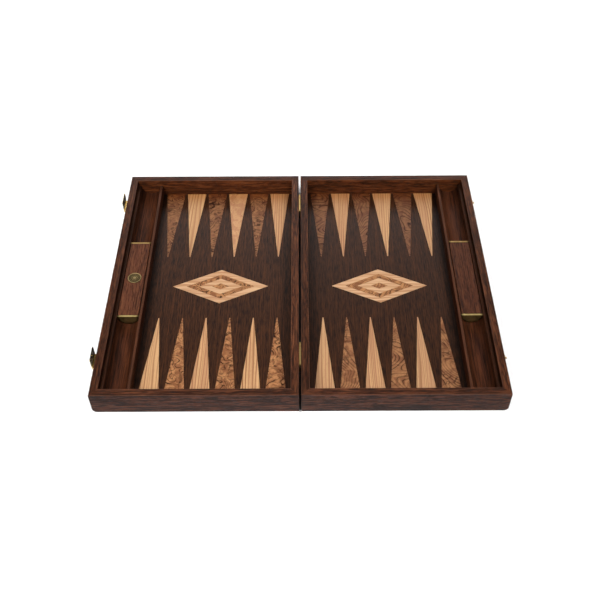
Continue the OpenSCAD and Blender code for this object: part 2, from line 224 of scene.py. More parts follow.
def frame_wood(name, axis):
    """Lacquered wenge with its grain along an axis: dashes, fine fibres, wavy streaks and open pores.
    The eased edges are worn paler, partly as a painted highlight. The outside faces are darker and cooler and
    the inside faces warmer. Each board's tone is partly painted light and shade; the inside faces are lifted
    as painted light, lowered as painted shade on the outer boards; and the faces that meet in the seam carry
    painted shade."""
    material, shader, place = new_finish(name, specular_ior_level=WOOD_GLOSS)
    worn_and_lit, outside, inside, board, tone = (own_value(place, mark) for mark in BOARD_MARKS)
    seam_shade = 1 - abs(coordinate(place, "X")).step(*SEAM_FACE)
    place = shifted(place, board, BOARD_JUMP)
    bands = noise(stretched(place, 3, 45, axis), 2, 0.5, 0.3)
    dashes = noise(stretched(place, 80, 420, axis), 2, 0.55, 0.25)
    fibres = noise(stretched(place, 20, 1000, axis), 3, 0.6)
    streaks = noise(stretched(place, 16, 300, axis), 2, 0.55, 0.7)
    figure = noise(stretched(place, 13, 150, axis), 2, 0.5, 1.2)
    wisps = 1 - abs(figure - 0.5).step(0.01, 0.1)
    pores = noise(stretched(place, 80, 1500, axis), 1).step(0.58, 0.7)
    colour = blend((dashes * 0.75 + bands * 0.25).step(0.4, 0.58), FRAME_DARK, FRAME_MID)
    colour = blend(fibres.step(0.4, 0.72) * 0.45, colour, FRAME_PALE)
    colour = blend(streaks.step(0.45, 0.7) * 0.6, colour, FRAME_PALE)
    colour = blend(wisps * (0.6 + outside * 0.3), colour, FRAME_DARK)
    colour = blend(pores * 0.6, colour, FRAME_DARK)
    # Board tone, partly painted light and shade.
    colour = place.node("ShaderNodeVectorMath", {"operation": "SCALE"}, {0: colour, "Scale": tone})
    # Outside faces darker and cooler, inside faces warmer.
    colour = blend(outside, colour, OUTSIDE_DARKENING, "MULTIPLY")
    colour = blend(inside, colour, INSIDE_WARMING, "MULTIPLY")
    # Eased edges: wear and a painted highlight.
    colour = blend(worn_and_lit * 0.5, colour, FRAME_WEAR_AND_HIGHLIGHT)
    # Painted shade on the faces that meet in the seam.
    colour = blend(seam_shade, colour, SEAM_PAINTED_SHADE, "MULTIPLY")
    feed(shader, base_color=colour, roughness=0.33 + fibres * 0.17,
         normal=bump(fibres * 0.6 - pores * 0.8 - wisps * 0.2, 0.0002))
    return material


def quarter(centre, radius, start, steps):
    """Points of a quarter round in a section, clockwise from a start angle in degrees."""
    turns = (math.radians(start - 90 * i / steps) for i in range(steps + 1))
    return [(centre[0] + radius * math.cos(t), centre[1] + radius * math.sin(t)) for t in turns]


def moulding(name, section, marks, start, along, inward, length, mitred, facets=()):
    """A length of wood: a section of (depth, height) points, swept, cut square or mitred at both ends and
    planed by facets, each a point and an outward direction. Marks number the points, for the material."""
    work = bmesh.new()
    layers = {mark: work.verts.layers.float.new(mark) for mark in marks}
    rings = []
    for far in (False, True):
        ring = []
        for i, (depth, height) in enumerate(section):
            cut = depth if mitred else 0
            reach = length - cut if far else cut
            corner = work.verts.new(start + along * reach + inward * depth + Vector((0, 0, height)))
            for mark, numbers in marks.items():
                corner[layers[mark]] = float(numbers[i])
            ring.append(corner)
        rings.append(ring)
    count = len(section)
    for i in range(count):
        work.faces.new((rings[0][i], rings[0][(i + 1) % count], rings[1][(i + 1) % count], rings[1][i]))
    for ring in rings:
        work.faces.new(ring)
    for point, outward in facets:
        planed = bmesh.ops.bisect_plane(work, geom=[*work.verts, *work.edges, *work.faces], plane_co=point,
                                        plane_no=outward, clear_outer=True)
        rim_edges = [part for part in planed["geom_cut"] if isinstance(part, bmesh.types.BMEdge)]
        bmesh.ops.edgeloop_fill(work, edges=rim_edges)
    return mesh_from(name, work)


def mesh_from(name, work, smooth_angle=30):
    """A mesh from finished bmesh work: faces outwards, smooth but for edges sharper than the angle."""
    bmesh.ops.recalc_face_normals(work, faces=work.faces)
    mesh = bpy.data.meshes.new(name)
    work.to_mesh(mesh)
    work.free()
    mesh.shade_smooth()
    mesh.set_sharp_from_angle(angle=math.radians(smooth_angle))
    return mesh


def piece(mesh, material, body, slot, *nodes):
    """Makes a finished object of a mesh, on its body and in place of its CAD nodes."""
    made = bpy.data.objects.new(mesh.name, mesh)
    bpy.context.scene.collection.objects.link(made)
    if material:
        mesh.materials.clear()
        mesh.materials.append(material)
    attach(made, body)
    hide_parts(*nodes)


frame_woods = [frame_wood("frame_wenge_across", 0), frame_wood("frame_wenge_lengthwise", 1)]
board_count = 0
for half, side in HALVES.items():
    base_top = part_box(f"{half}_base_panel")[1].z
    low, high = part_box(f"{half}_hinge_rail")
    rail_t, rim = high.x - low.x, high.z
    foot = quarter((BOTTOM_R, BOTTOM_R), BOTTOM_R, 270, BOTTOM_STEPS)
    upper_section = [*quarter((RIM_R, rim - RIM_R), RIM_R, 180, RIM_STEPS),
                     *quarter((rail_t - RIM_R, rim - RIM_R), RIM_R, 90, RIM_STEPS),
                     (rail_t, base_top), (rail_t - REBATE_W, base_top)]
    square_section = [(rail_t - REBATE_W, 0), (0, 0), *upper_section]
    rounded_section = [(rail_t - REBATE_W, 0), *foot, *upper_section]
    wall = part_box(f"{half}_outer_rail")[side > 0].x
    foot_facets = []
    for (depth, height), (next_depth, next_height) in zip(foot, foot[1:]):
        point = Vector((wall - side * depth, 0, height))
        foot_facets.append((point, Vector((side * (next_height - height), 0, next_depth - depth))))
    for where in ("front", "rear", "outer", "hinge"):
        node = f"{half}_{where}_rail"
        low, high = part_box(node)
        size = high - low
        if where in ("front", "rear"):
            axis, length = 0, size.x
            inward = Vector((0, 1 if where == "front" else -1, 0))
            start = Vector((low.x, low.y if where == "front" else high.y, 0))
        else:
            axis, length = 1, size.y
            inward = Vector((side if where == "hinge" else -side, 0, 0))
            start = Vector((low.x if inward.x > 0 else high.x, low.y, 0))
        along = Vector((axis == 0, axis == 1, 0))
        section = rounded_section if where == "outer" else square_section
        tone = BOARD_TONES_AND_LIGHT[half][where]
        marks = {mark: [] for mark in BOARD_MARKS}
        for depth, height in section:
            below_rim = height < rim - RIM_R / 2
            inside = depth > rail_t - RIM_R / 4 and below_rim
            marks["eased"].append(rim - height < RIM_R * 0.9 and min(depth, rail_t - depth) < RIM_R * 0.9)
            marks["outside"].append(depth < RIM_R and below_rim or height < base_top)
            marks["inside"].append(inside)
            marks["board"].append(board_count)
            # Inside faces lifted as painted light, lowered as painted shade on the outer boards.
            marks["tone"].append(tone * INSIDE_PAINTED_LIGHT_AND_SHADE[where] if inside else tone)
        board = moulding(f"{half}_{where}_board", section, marks, start, along, inward, length, mitred=True,
                         facets=foot_facets if axis == 0 else ())
        board_count += 1
        piece(board, frame_woods[axis], f"{half}_half", "frame_wood", node)


# Base panels. A sheet of dark veneered ply closes each half from below, let into the rebate of the rails.
# It is only seen when the case is turned over or folded.
GLUE_LINE = (0.0003, 0.0007)  # from the panel's edge, where the line fades out


def base_wood():
    """Dark striped veneer, its grain along the case, with a fine glue line where it meets the rebate."""
    material, shader, place = new_finish("base_veneer", specular_ior_level=WOOD_GLOSS)
    x, y = (abs(coordinate(place, axis)) for axis in "XY")
    inset = (x - panel_inner).math("MINIMUM", panel_outer - x).math("MINIMUM", panel_end - y)
    glue = 1 - inset.step(*GLUE_LINE)
    bands = noise(stretched(place, 2, 70, 1), 3, 0.5, 0.5)
    streaks = noise(stretched(place, 9, 330, 1), 3, 0.6, 0.4)
    dashes = noise(stretched(place, 55, 520, 1), 2, 0.6)
    fibres = noise(stretched(place, 18, 1000, 1), 3, 0.6)
    pores = noise(stretched(place, 90, 1500, 1), 1).step(0.58, 0.7)
    colour = blend((dashes * 0.5 + streaks * 0.3 + bands * 0.2).step(0.38, 0.6), FRAME_DARK, FRAME_MID)
    colour = blend((streaks * 0.6 + bands * 0.4).step(0.48, 0.7) * 0.7, colour, FRAME_PALE)
    colour = blend(fibres.step(0.45, 0.75) * 0.4, colour, FRAME_PALE)
    colour = blend(pores * 0.6, colour, FRAME_DARK)
    colour = blend(glue * 0.85, colour, FRAME_DARK)
    feed(shader, base_color=colour, roughness=0.42 + fibres * 0.2,
         normal=bump(fibres * 0.6 - pores * 0.6 - glue * 2, 0.0002))
    return material


def dress(node, material):
    """Gives a CAD node, whose shape is right, its finish."""
    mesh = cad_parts[node].data
    mesh.materials.clear()
    mesh.materials.append(material)


low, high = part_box("right_base_panel")
panel_inner, panel_outer, panel_end = low.x, high.x, high.y
base_veneer = base_wood()
for half in HALVES:
    dress(f"{half}_base_panel", base_veneer)


# Playing fields. Quarter-cut wenge veneer, dark brown, with hair-fine straight lines from front to rear.
# Shallow pockets hold the inlay flush with its face. Painted shade and painted shadow lie along the rails and
# racks.
FIELD_DARK = (22, 9, 4)
FIELD_MID = (58, 32, 15)
FIELD_PALE = (101, 57, 29)
FIELD_GLOSS = 0.15
# Reach of the painted shade along the rails, of the painted shadow at the rack foot and of the rear rail's
# painted shadow.
EDGE_SHADE, FOOT_SHADOW, REAR_SHADOW = 0.055, 0.009, 0.04


def rear_shadow(place):
    """The share of painted shadow from the rear rail, towards its foot."""
    from_rear = field_end - coordinate(place, "Y")
    return 1 - from_rear.step(-REAR_SHADOW / 10, REAR_SHADOW)


def field_wood():
    """Wenge cut on the quarter: short dark and pale dashes on hair-fine lines, with a few broader bands.
    Painted shade darkens it towards the hinge rails and the racks, and a painted shadow most at the foot of
    the racks. A painted shadow of the rear rail darkens it at the rear, and the right field is darker as
    painted shade."""
    material, shader, place = new_finish("field_wenge", specular_ior_level=FIELD_GLOSS)
    x = coordinate(place, "X")
    right = x.step(-field_inner, field_inner)
    from_seam = abs(x)
    from_rack = field_outer - from_seam
    edge = 1 - (from_seam - field_inner).math("MINIMUM", from_rack).step(0.0, EDGE_SHADE)
    foot = 1 - from_rack.step(0.0, FOOT_SHADOW)
    dashes = noise(stretched(place, 60, 640, 1), 2, 0.6)
    lines = noise(stretched(place, 14, 950, 1), 3, 0.65)
    bands = noise(stretched(place, 1.5, 60, 1), 2)
    pores = noise(stretched(place, 110, 1600, 1), 1).step(0.58, 0.7)
    colour = blend((dashes * 0.75 + lines * 0.25).step(0.36, 0.62), FIELD_DARK, FIELD_MID)
    colour = blend((lines * 0.9 + bands * 0.1).step(0.46, 0.76) * 0.5, colour, FIELD_PALE)
    colour = blend(pores * 0.6, colour, FIELD_DARK)
    # Painted shade along the rails and on the right field, painted shadow at the rack foot and the rear rail.
    painted_shade = edge * 0.22 + foot * 0.45 + right * 0.15 + rear_shadow(place) * 0.35
    colour = blend(painted_shade, colour, FIELD_DARK)
    feed(shader, base_color=colour, roughness=0.3 + lines * 0.15, normal=bump(lines - pores * 0.6, 0.00015))
    return material


field_inner, field_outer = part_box("right_hinge_rail")[1].x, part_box("right_rack")[0].x
field_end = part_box("right_rear_rail")[0].y
field_wenge = field_wood()
for half in HALVES:
    dress(f"{half}_field_panel", field_wenge)


# Points. Long wedges of veneer inlaid in two facing rows of six: pale striped wood and burl by turns.
# Each wedge is cut from another part of the sheet, so its stripes or swirls differ from its neighbours'.
TIP_W = 0.0014
POINTS_IN_GROUP = 3
LIGHT_PALE = (203, 161, 114)
LIGHT_STRIPE = (118, 74, 45)
LIGHT_ROSE = (172, 124, 90)
# Grey of the slow grown wedges and of the row shades, partly painted shade.
LIGHT_GREY_AND_SHADE = (150, 112, 84)
# Painted shadow of the rear rail on the pale points.
LIGHT_REAR_SHADOW = (219, 196, 166)
BURL_PALE = (174, 122, 79)
BURL_MID = (130, 82, 51)
# Colour of the row shades on burl, partly painted shade.
BURL_DEEP = (84, 55, 44)
BURL_LINE = (34, 17, 10)
BURL_DARK = (44, 23, 15)
# Painted shadow of the rear rail on the burl points.
BURL_REAR_SHADOW = (190, 150, 98)
BURL_JUMP = (0.31, 0.17, 0.53)
CURLY_WEDGE, SLOW_GROWN_FROM = 1, 18
# Row shades: partly wood tone, partly painted shade on the far and right rows.
ROW_TONES_AND_SHADE = {"left_far": 0.5, "left_near": 0.0, "right_far": 0.68, "right_near": 0.3}


def new_tree(name, **inputs):
    """A Geometry Nodes tree with named inputs. Gives it, its inputs as wires and their identifiers."""
    tree = bpy.data.node_groups.new(name, "GeometryNodeTree")
    kinds = {float: "NodeSocketFloat", int: "NodeSocketInt", bpy.types.Material: "NodeSocketMaterial"}
    keys = {}
    for label, kind in inputs.items():
        keys[label] = tree.interface.new_socket(label, in_out="INPUT", socket_type=kinds[kind]).identifier
    tree.interface.new_socket("Geometry", in_out="OUTPUT", socket_type="NodeSocketGeometry")
    source = tree.nodes.new("NodeGroupInput")
    return tree, {label: Wire(source.outputs[label]) for label in inputs}, keys


def end_tree(tree, instances, material):
    """Ends a tree: the instances are made real and take their material."""
    real = instances.node("GeometryNodeRealizeInstances", {}, {"Geometry": instances})
    done = real.node("GeometryNodeSetMaterial", {}, {"Geometry": real, "Material": material})
    tree.links.new(done.socket, tree.nodes.new("NodeGroupOutput").inputs[0])


def grown(name, tree, keys, **values):
    """The plain mesh that a tree makes from these values."""
    carrier = bpy.data.objects.new(name, bpy.data.meshes.new(name))
    bpy.context.scene.collection.objects.link(carrier)
    growth = carrier.modifiers.new("growth", "NODES")
    growth.node_group = tree
    for label, value in values.items():
        growth[keys[label]] = value
    bpy.context.view_layer.update()
    seen = carrier.evaluated_get(bpy.context.evaluated_depsgraph_get())
    mesh = bpy.data.meshes.new_from_object(seen)
    carrier.modifiers.remove(growth)
    bpy.data.objects.remove(carrier)
    mesh.name = name
    return mesh


def set_out(count, first, step):
    """Points in a straight line: how many, the first one's place, and the step to the next."""
    return first.node("GeometryNodeMeshLine", {"mode": "OFFSET"}, {
        "Count": count, "Start Location": first, "Offset": step})


def copies(points, shape, **turn):
    """A copy of a shape at every point."""
    return points.node("GeometryNodeInstanceOnPoints", {}, {"Points": points, "Instance": shape, **turn})


def wedge_row_tree():
    """A row of wedges: a block narrowed towards its tip, set out at a pitch, each with its own number."""
    tree, size, keys = new_tree(
        "wedge_row", First_X=float, Base_Y=float, Top=float, Pitch=float, Base_Width=float,
        Tip_Width=float, Length=float, Thickness=float, Count=int, First_Number=float, Shade=float,
        Veneer=bpy.types.Material,
    )
    start = size["Pitch"]
    block = start.node("GeometryNodeMeshCube", {}, {"Size": (1, 1, 1)}, "Mesh")
    corner = start.node("GeometryNodeInputPosition")
    x, y, z = (coordinate(corner, axis) for axis in "XYZ")
    width = size["Base_Width"] + (size["Tip_Width"] - size["Base_Width"]) * (y + 0.5)
    shaped = vector(start, x * width, (y + 0.5) * size["Length"], (z - 0.5) * size["Thickness"])
    wedge = start.node("GeometryNodeSetPosition", {}, {"Geometry": block, "Position": shaped})
    first = vector(start, size["First_X"], size["Base_Y"], size["Top"])
    laid = copies(set_out(size["Count"], first, vector(start, x=size["Pitch"])), wedge)
    number = start.node("GeometryNodeInputIndex") + size["First_Number"]
    for mark, value in (("veneer", number), ("shade", size["Shade"])):
        laid = start.node("GeometryNodeStoreNamedAttribute", {"domain": "INSTANCE", "data_type": "FLOAT"}, {
            "Geometry": laid, "Name": mark, "Value": value})
    end_tree(tree, laid, size["Veneer"])
    return tree, keys


def light_veneer():
    """Pale striped wood: each wedge has its own year rings, slant and warmth, with fine pores along them.
    One wedge is cut from a curly part of the tree, and the last row from a slower grown and greyer one. The
    far and right rows are darker, partly as painted shade, and a painted shadow lies at the foot of the rear
    rail."""
    material, shader, place = new_finish("light_striped_veneer", specular_ior_level=WOOD_GLOSS)
    number = own_value(place, "veneer")
    curly = 1 - abs(number - CURLY_WEDGE).step(0.2, 0.4)
    slow = number.step(SLOW_GROWN_FROM - 0.8, SLOW_GROWN_FROM - 0.2)
    chance = (number * 0.6180).math("FRACT")
    other = (number * 0.4142).math("FRACT")
    x, y = (coordinate(place, axis) for axis in "XY")
    sway = noise(stretched(place, 7, 18, 1), 2) - 0.5
    curl = noise(stretched(place, 60, 45, 1), 2) - 0.5
    across = x + y * (chance - 0.5) * 0.05 + sway * 0.006 + curl * curly * 0.03
    spread = noise(vector(place, across * 70, y * 2, number * 3.7), 2)
    rings = across * (185 + other * 70 + slow * 70) + spread * (3 + slow * 2) + number * 0.37
    year = rings.math("FRACT")
    late = year ** 2.6 * (1 - year.step(0.88, 1.0))
    weight = noise(vector(place, across * 160, y * 3, number * 1.9), 1)
    warm = noise(vector(place, across * 110, y * 4, number * 7.3), 1)
    fibres = noise(vector(place, across * 1300, y * 26, number * 5.3), 2, 0.6)
    pores = noise(stretched(place, 160, 1900, 1), 1).step(0.6, 0.7)
    flame = noise(place, 2, distortion=1.5, scale=45).step(0.46, 0.62) * curly
    colour = blend(warm.step(0.36, 0.64) * 0.5 + other * 0.3 + flame * 0.7, LIGHT_PALE, LIGHT_ROSE)
    ringed = late.step(0.06, 0.6) * (0.4 + weight.step(0.3, 0.7) * 0.5)
    colour = blend(ringed * (1 - curly * 0.7), colour, LIGHT_STRIPE)
    colour = blend(fibres.step(0.45, 0.8) * 0.4, colour, LIGHT_STRIPE)
    colour = blend(pores * 0.35, colour, BURL_MID)
    # Row shade, partly painted shade, and the grey of the slow grown wedges.
    greyed_and_shaded = own_value(place, "shade") * 0.4 + slow * (1 - chance) * 0.25
    colour = blend(greyed_and_shaded, colour, LIGHT_GREY_AND_SHADE)
    # Painted shadow of the rear rail.
    colour = blend(rear_shadow(place), colour, LIGHT_REAR_SHADOW, "MULTIPLY")
    feed(shader, base_color=colour, roughness=0.4 + fibres * 0.2, normal=bump(fibres - pores, 0.0001))
    return material


def burl_veneer(name, swirl, rings, distortion, curls, ink):
    """Burl: growth lines folded into rings or tight curls, with dark squiggles and a few small eyes.
    Swirl and rings set how many folds and lines there are, distortion and curls how they wind, and ink how
    dark they are. Each row is darker by its shade, partly as painted shade, and a painted shadow lies at the
    foot of the rear rail."""
    material, shader, place = new_finish(name, specular_ior_level=WOOD_GLOSS)
    shade, rear_shadow_share = own_value(place, "shade"), rear_shadow(place)
    place = shifted(place, own_value(place, "veneer"), BURL_JUMP)
    folds = noise(place, 0.6, 0.4, distortion, scale=swirl)
    lines = abs((folds * rings).math("FRACT") - 0.5) * 2
    weight = noise(place, 1, scale=45)
    drawn = (1 - lines.step(0.05, 0.38)) * (0.5 + weight.step(0.35, 0.65) * 0.5)
    between = abs((folds * rings * 2).math("FRACT") - 0.5) * 2
    between = 1 - between.step(0.1, 0.5)
    squiggle = 1 - abs(noise(place, 1, distortion=curls, scale=38) - 0.5).step(0.006, 0.02)
    squiggle = squiggle * noise(place, 1, scale=24).step(0.48, 0.56)
    eyes = place.node("ShaderNodeTexVoronoi", {}, {"Vector": place, "Scale": 95.0, "Randomness": 1.0})
    eyes = (1 - eyes.step(0.08, 0.2)) * noise(place, 1, scale=20).step(0.54, 0.62)
    clouds = noise(place, 3, 0.6, 0.8, scale=80)
    grit = noise(place, 2, 0.6, scale=800)
    colour = blend(clouds.step(0.36, 0.64), BURL_MID, BURL_PALE)
    # Row shade, partly painted shade.
    colour = blend(shade, colour, BURL_DEEP)
    colour = blend(grit.step(0.4, 0.8) * 0.3, colour, BURL_DARK)
    colour = blend(between * 0.15, colour, BURL_LINE)
    colour = blend(drawn * ink, colour, BURL_LINE)
    colour = blend(eyes * 0.6, colour, BURL_DARK)
    colour = blend(squiggle * 0.7, colour, BURL_DARK)
    # Painted shadow of the rear rail.
    colour = blend(rear_shadow_share, colour, BURL_REAR_SHADOW, "MULTIPLY")
    feed(shader, base_color=colour, roughness=0.4 + clouds * 0.2, normal=bump(clouds - drawn * 0.5, 0.0001))
    return material


wedge_row, wedge_keys = wedge_row_tree()
light_wood = light_veneer()
burl_woods = {
    "left": burl_veneer("curly_burl_veneer", swirl=46, rings=6, distortion=1.1, curls=1.8, ink=1.0),
    "right": burl_veneer("ringed_burl_veneer", swirl=15, rings=27, distortion=0.4, curls=0.8, ink=0.9),
}
wedge_number = 0
for half in HALVES:
    for row, towards in (("far", -1), ("near", 1)):
        starts = {kind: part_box(f"{half}_{row}_{kind}_points")[0].x for kind in ("light", "burl")}
        pitch = 2 * abs(starts["light"] - starts["burl"])
        for kind in ("light", "burl"):
            node = f"{half}_{row}_{kind}_points"
            low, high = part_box(node)
            base_w = high.x - low.x - (POINTS_IN_GROUP - 1) * pitch
            mesh = grown(
                f"{half}_{row}_{kind}_wedges", wedge_row, wedge_keys,
                First_X=low.x + base_w / 2, Base_Y=low.y if towards > 0 else high.y, Top=high.z,
                Pitch=pitch, Base_Width=base_w, Tip_Width=TIP_W, Length=towards * (high.y - low.y),
                Thickness=high.z - low.z, Count=POINTS_IN_GROUP, First_Number=float(wedge_number),
                Shade=ROW_TONES_AND_SHADE[f"{half}_{row}"],
                Veneer=light_wood if kind == "light" else burl_woods[half],
            )
            wedge_number += POINTS_IN_GROUP
            work = bmesh.new()
            work.from_mesh(mesh)
            bmesh.ops.recalc_face_normals(work, faces=work.faces)
            work.to_mesh(mesh)
            work.free()
            piece(mesh, None, f"{half}_half", f"{kind}_inlay", node)


# Diamonds. Four nested rings of veneer in the middle of each field: pale, burl, pale and a burl heart.
# The pale bands have their grain across the case.
BAND_PALE = (196, 158, 121)
BAND_STRIPE = (152, 104, 68)


def band_veneer():
    """The pale wood of the diamonds, its stripes waving along X."""
    material, shader, place = new_finish("light_band_veneer", specular_ior_level=WOOD_GLOSS)
    sway = noise(place, 2, scale=22) - 0.5
    x, y = (coordinate(place, axis) for axis in "XY")
    stripes = noise(vector(place, x * 6, (y + sway * 0.012) * 230), 2.5, 0.55)
    fibres = noise(stretched(place, 30, 1200, 0), 2, 0.6)
    colour = blend(stripes.step(0.36, 0.66) * 0.8, BAND_PALE, BAND_STRIPE)
    colour = blend(fibres.step(0.45, 0.8) * 0.35, colour, BAND_STRIPE)
    feed(shader, base_color=colour, roughness=0.4 + fibres * 0.2, normal=bump(fibres, 0.0001))
    return material


band_wood = band_veneer()
for half in HALVES:
    for ring in ("outer", "inner"):
        dress(f"{half}_diamond_{ring}_band", band_wood)
    for ring in ("burl_band", "centre"):
        dress(f"{half}_diamond_{ring}", burl_woods[half])


# Racks. A moulding along each outer rail with a half-round groove for a row of checkers on edge.
# Reddish brown wood, run on a spindle moulder and lacquered satin, with two narrow lips.
GROOVE_R = 0.0173
GROOVE_STEPS = 48
LIP_R = 0.0005
LIP_STEPS = 3
RACK_DARK = (24, 10, 5)
RACK_MID = (66, 34, 19)
RACK_PALE = (102, 56, 31)
# Faint painted shade on the sides of the rack.
RACK_SIDE_SHADE = (245, 238, 238)
RACK_GLOSS = 0.08


def rack_wood():
    """Reddish brown straight-grained wood along the rack, with fine darker streaks and pores. The lips are a
    little worn and paler, partly as a painted highlight, the sides carry a faint painted shade, and a painted
    shadow of the rear rail lies at the rear end."""
    material, shader, place = new_finish("rack_redwood", specular_ior_level=RACK_GLOSS)
    worn_and_lit, sides = own_value(place, "eased"), own_value(place, "sides")
    bands = noise(stretched(place, 3, 90, 1), 2, 0.5, 0.4)
    dashes = noise(stretched(place, 22, 420, 1), 2, 0.6, 0.2)
    fibres = noise(stretched(place, 16, 1000, 1), 3, 0.6)
    pores = noise(stretched(place, 80, 1600, 1), 1).step(0.6, 0.72)
    colour = blend((dashes * 0.65 + bands * 0.35).step(0.36, 0.62), RACK_DARK, RACK_MID)
    colour = blend(fibres.step(0.42, 0.75) * 0.6, colour, RACK_PALE)
    colour = blend(pores * 0.6, colour, RACK_DARK)
    # Lips a little worn and paler, partly a painted highlight.
    colour = blend(worn_and_lit * 0.15, colour, FRAME_WEAR_AND_HIGHLIGHT)
    # Painted shade on the sides.
    colour = blend(sides, colour, RACK_SIDE_SHADE, "MULTIPLY")
    # Painted shadow of the rear rail.
    colour = blend(rear_shadow(place) * 0.45, colour, RACK_DARK)
    feed(shader, base_color=colour, roughness=0.42 + fibres * 0.2, normal=bump(fibres - pores * 0.6, 0.0002))
    return material


rack_redwood = rack_wood()
for half, side in HALVES.items():
    low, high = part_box(f"{half}_rack")
    width, lip = high.x - low.x, high.z
    middle = width / 2
    groove_x = abs(low.x + middle)
    drop = math.asin(LIP_R / (GROOVE_R + LIP_R))
    groove = [math.pi + drop + (math.pi - 2 * drop) * i / GROOVE_STEPS for i in range(GROOVE_STEPS + 1)]
    lip_x = (GROOVE_R + LIP_R) * math.cos(drop)
    rack_section = [
        (0, low.z), *quarter((LIP_R, lip - LIP_R), LIP_R, 180, LIP_STEPS),
        *quarter((middle - lip_x, lip - LIP_R), LIP_R, 90, LIP_STEPS)[:-1],
        *((middle + GROOVE_R * math.cos(t), lip + GROOVE_R * math.sin(t)) for t in groove),
        *quarter((middle + lip_x, lip - LIP_R), LIP_R, 180, LIP_STEPS)[1:],
        *quarter((width - LIP_R, lip - LIP_R), LIP_R, 90, LIP_STEPS), (width, low.z),
    ]
    marks = {"eased": [height > lip - LIP_R and 0 < depth < width for depth, height in rack_section],
             "sides": [not LIP_R / 2 < depth < width - LIP_R / 2 for depth, height in rack_section]}
    rack = moulding(f"{half}_rack_moulding", rack_section, marks, start=Vector((low.x, low.y, 0)),
                    along=Vector((0, 1, 0)), inward=Vector((1, 0, 0)), length=high.y - low.y, mitred=False)
    piece(rack, rack_redwood, f"{half}_half", "rack_wood", f"{half}_rack")


# Half-moon plates. Brass plates stand across the groove and close off the middle of each rack.
# They are cut from bar, brushed lengthwise and lacquered.
# Front and rear plates are lit and shaded copies of one brass: painted light and shade.
PLATE_LIT_BRIGHTS = {"front": (226, 202, 134), "rear": (186, 153, 98)}
PLATE_DULL = (124, 94, 50)
# Painted shade on the plate faces below the top edge and along the groove.
PLATE_SHADE = (46, 32, 16)
EDGE_DEPTH, EDGE_FADE = 0.0006, 0.0004


def plate_finish(name, bright):
    """Aged brass brushed along X, uneven in tone, bright on its top edge only, with painted shade on the face
    below it and darker painted shade where it meets the groove."""
    material, shader, place = new_finish(name, metallic=1.0)
    cloud = noise(place, 4, 0.6, 0.2, scale=90)
    strokes = noise(stretched(place, 60, 6000, 0), 2, 0.6)
    x, z = (coordinate(place, axis) for axis in "XZ")
    from_axis = ((abs(x) - groove_x) ** 2 + (z - lip) ** 2) ** 0.5
    groove_shade = (from_axis + cloud * 0.004).step(GROOVE_R - 0.003, GROOVE_R + 0.002)
    below_edge = 1 - z.step(plate_top - EDGE_DEPTH, plate_top - EDGE_DEPTH + EDGE_FADE)
    colour = blend(cloud.step(0.35, 0.75) * 0.6 + strokes * 0.2, bright, PLATE_DULL)
    # Painted shade on the face below the top edge.
    colour = blend(below_edge * 0.4, colour, PLATE_SHADE)
    # Painted shade where the plate meets the groove.
    colour = blend(groove_shade * 0.9, colour, PLATE_SHADE)
    feed(shader, base_color=colour, roughness=0.42 + cloud * 0.08 + strokes * 0.05,
         normal=bump(strokes, 0.00002))
    return material


plate_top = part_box("left_front_plate")[1].z
for end, bright in PLATE_LIT_BRIGHTS.items():
    plate_brass = plate_finish(f"{end}_plate_brass", bright)
    for half in HALVES:
        dress(f"{half}_{end}_plate", plate_brass)


# Lids. A flat bar of warm brown wood lies in the groove between the plates and lifts straight out.
# Its top edges are lightly bevelled.
# The right lid is darker than the left, partly its own tone and partly painted shade.
LID_TONES_AND_SHADE = {
    "left": ((43, 20, 11), (87, 48, 31), (126, 77, 50)),
    "right": ((33, 15, 9), (71, 38, 24), (106, 63, 40)),
}


def lid_wood(name, dark, middle, pale):
    """Warm brown wood with short dashes and fine grain along the lid."""
    material, shader, place = new_finish(name, specular_ior_level=WOOD_GLOSS)
    bands = noise(stretched(place, 3, 80, 1), 2, 0.5, 0.2)
    dashes = noise(stretched(place, 60, 420, 1), 2, 0.6, 0.2)
    fibres = noise(stretched(place, 24, 1000, 1), 3, 0.65)
    pores = noise(stretched(place, 120, 1700, 1), 1).step(0.58, 0.7)
    colour = blend((dashes * 0.75 + bands * 0.25).step(0.38, 0.58), dark, middle)
    colour = blend(fibres.step(0.4, 0.75) * 0.7, colour, pale)
    colour = blend(pores * 0.5, colour, dark)
    feed(shader, base_color=colour, roughness=0.4 + fibres * 0.2, normal=bump(fibres - pores * 0.6, 0.0002))
    return material


for half in HALVES:
    dress(f"{half}_lid", lid_wood(f"{half}_lid_brownwood", *LID_TONES_AND_SHADE[half]))


# Badge. A round antique brass disc let into the left lid: a raised rim, a ring of small beads and a
# plain domed middle. Turned, waxed dark and wiped bright where it stands proud.
BADGE_STEPS = 64
BADGE_DISH = 0.0004
BADGE_DARK = (36, 29, 19)
BADGE_BRIGHT = (158, 136, 92)
BEAD_RING_R, BEAD_R, BEAD_COUNT = 0.0071, 0.00055, 30
BEAD_SEGMENTS, BEAD_RINGS = 12, 8


def turned(name, profile, centre, axis, steps):
    """A turned piece: (radius, reach) points from the axis back to the axis, spun about it."""
    work = bmesh.new()
    along = Vector(axis)
    first = along.orthogonal().normalized()
    second = along.cross(first)
    rings = []
    for radius, reach in profile:
        foot = Vector(centre) + along * reach
        if radius == 0:
            rings.append([work.verts.new(foot)])
        else:
            turns = (2 * math.pi * i / steps for i in range(steps))
            rings.append([
                work.verts.new(foot + (first * math.cos(t) + second * math.sin(t)) * radius) for t in turns])
    for near, far in zip(rings, rings[1:]):
        for i in range(steps):
            j = (i + 1) % steps
            if len(near) == 1:
                work.faces.new((near[0], far[i], far[j]))
            elif len(far) == 1:
                work.faces.new((near[i], far[0], near[j]))
            else:
                work.faces.new((near[i], far[i], far[j], near[j]))
    return mesh_from(name, work, smooth_angle=40)


